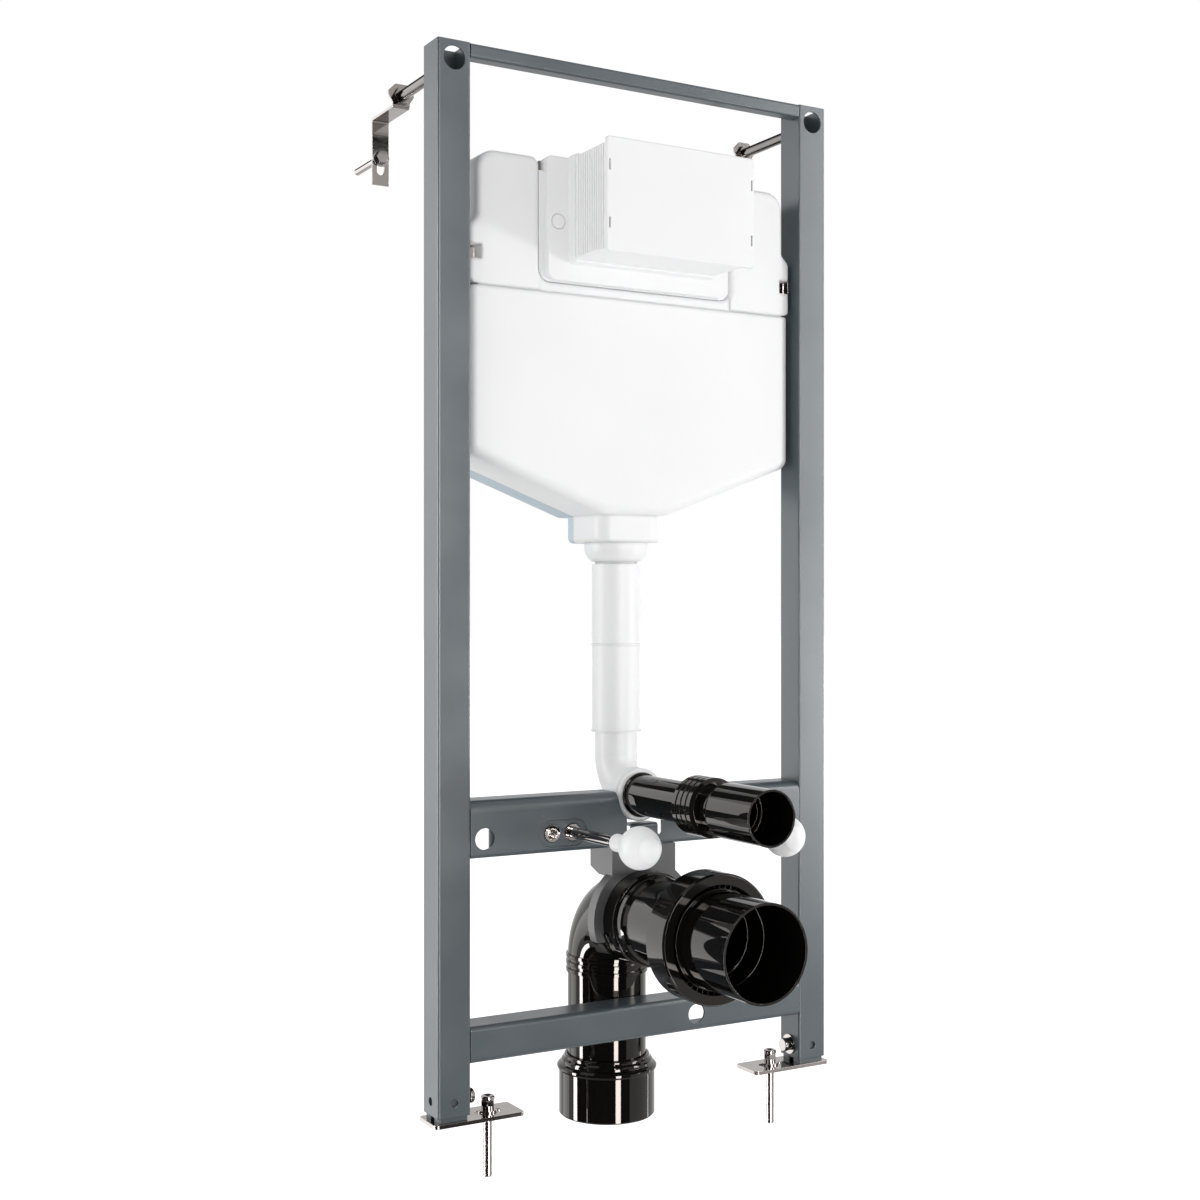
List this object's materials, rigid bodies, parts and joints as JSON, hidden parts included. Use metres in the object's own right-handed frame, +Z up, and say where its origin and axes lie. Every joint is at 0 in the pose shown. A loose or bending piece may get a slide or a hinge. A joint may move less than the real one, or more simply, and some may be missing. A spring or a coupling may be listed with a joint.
{
  "type": "wall hung toilet frame",
  "caption": "Steel wall frame on telescopic feet with a concealed cistern, flush pipe, waste bend, pan studs and adjustable wall ties.",
  "frame": {"origin": "on the flat back of the left wall bracket, where it bears on the wall, on the bracket's centre line and 16 mm under its bend", "axes": "+Z up, +Y into the wall, +X to the right seen from the front; the centre plane is x = 0.23125 m, the front faces of the uprights y = -0.2015 m and the floor with the feet drawn in z = -1.080 m"},
  "size_m": [0.5079, 0.5085, 1.1935],
  "materials": {
    "frame_paint": "satin powder coat",
    "zinc": "bright zinc",
    "steel": "bright",
    "white_plastic": "satin",
    "blue_plastic": "satin",
    "black_plastic": "gloss",
    "black_rubber": "satin",
    "bracket_grey": "matt"
  },
  "bodies": {
    "frame": {"top_bar": "frame_paint", "stud_bar": "frame_paint", "bottom_bar": "frame_paint", "bushes": "zinc", "bush_backings": "frame_paint", "wall_nuts": "zinc", "cistern_tank": "white_plastic", "cistern_back": "blue_plastic", "cistern_hood": "white_plastic", "cistern_clips": "zinc", "cistern_panel": "white_plastic", "access_box": "white_plastic", "access_cover": "white_plastic", "outlet_nut": "white_plastic", "flush_pipe": "white_plastic", "flush_elbow": "white_plastic", "flush_connector": "black_plastic", "flush_seal": "black_rubber", "flush_sleeve": "black_plastic", "waste_bend": "black_plastic", "waste_outlet": "black_plastic", "waste_connector": "black_plastic", "waste_collar": "black_rubber", "waste_mouth": "black_plastic", "waste_bracket": "bracket_grey", "left_upright": "frame_paint", "left_clamp_bolt": "steel", "left_stud": "steel", "left_stud_cap": "white_plastic", "left_wall_rod": "steel", "left_wall_bracket": "zinc", "left_wall_screw": "steel", "right_upright": "frame_paint", "right_clamp_bolt": "steel", "right_stud": "steel", "right_stud_cap": "white_plastic", "right_wall_rod": "steel", "right_wall_bracket": "zinc", "right_wall_screw": "steel"},
    "left_foot": {"left_foot_tube": "frame_paint", "left_foot_plate": "zinc", "left_foot_anchor": "zinc"},
    "right_foot": {"right_foot_tube": "frame_paint", "right_foot_plate": "zinc", "right_foot_anchor": "zinc"}
  },
  "joints": [
    {"name": "left_foot_slide", "type": "slide", "parent": "frame", "child": "left_foot", "axis": [0, 0, -1], "range_m": [0, 0.2]},
    {"name": "right_foot_slide", "type": "slide", "parent": "frame", "child": "right_foot", "axis": [0, 0, -1], "range_m": [0, 0.2]}
  ]
}
